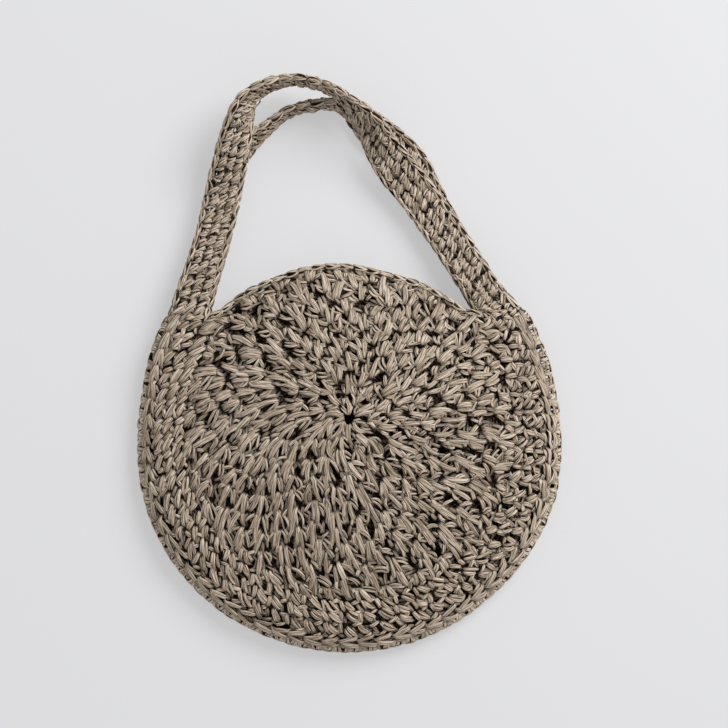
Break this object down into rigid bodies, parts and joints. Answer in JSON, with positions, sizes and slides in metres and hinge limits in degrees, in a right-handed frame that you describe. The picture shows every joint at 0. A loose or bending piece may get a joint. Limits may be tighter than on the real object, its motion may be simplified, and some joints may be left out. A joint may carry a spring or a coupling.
{
  "type": "round crocheted bag",
  "caption": "Round two-strap bag crocheted in flat taupe yarn: two worked panels joined along a seam, an open mouth at the top, and straps that fold to the front and to the back.",
  "frame": {"origin": "middle of the whole bag's outline, on the surface that it lies on", "axes": "+Z out of the front panel, +Y towards the straps, +X to the right seen from the front"},
  "size_m": [0.34, 0.4624, 0.0488],
  "materials": {
    "panel_yarn": "matt flat paper-like yarn in loose worked rounds",
    "band_yarn": "matt flat paper-like yarn in close rows",
    "edge_yarn": "matt flat paper-like yarn in a slip-stitched braid"
  },
  "bodies": {
    "bag": {"front_panel": "panel_yarn", "back_panel": "panel_yarn", "front_side_band": "band_yarn", "back_side_band": "band_yarn", "joining_seam": "edge_yarn", "front_mouth_edging": "edge_yarn", "back_mouth_edging": "edge_yarn"},
    "front_strap": {"front_strap": "band_yarn", "front_strap_inner_edging": "edge_yarn", "front_strap_outer_edging": "edge_yarn"},
    "back_strap": {"back_strap": "band_yarn", "back_strap_inner_edging": "edge_yarn", "back_strap_outer_edging": "edge_yarn"}
  },
  "joints": [
    {"name": "front_strap_fold", "type": "hinge", "parent": "bag", "child": "front_strap", "pos_m": [0, 0.0367, 0.0284], "axis": [1, 0, 0], "range_deg": [0, 165]},
    {"name": "back_strap_fold", "type": "hinge", "parent": "bag", "child": "back_strap", "pos_m": [0, 0.0367, -0.0004], "axis": [1, 0, 0], "range_deg": [-165, 0]}
  ]
}
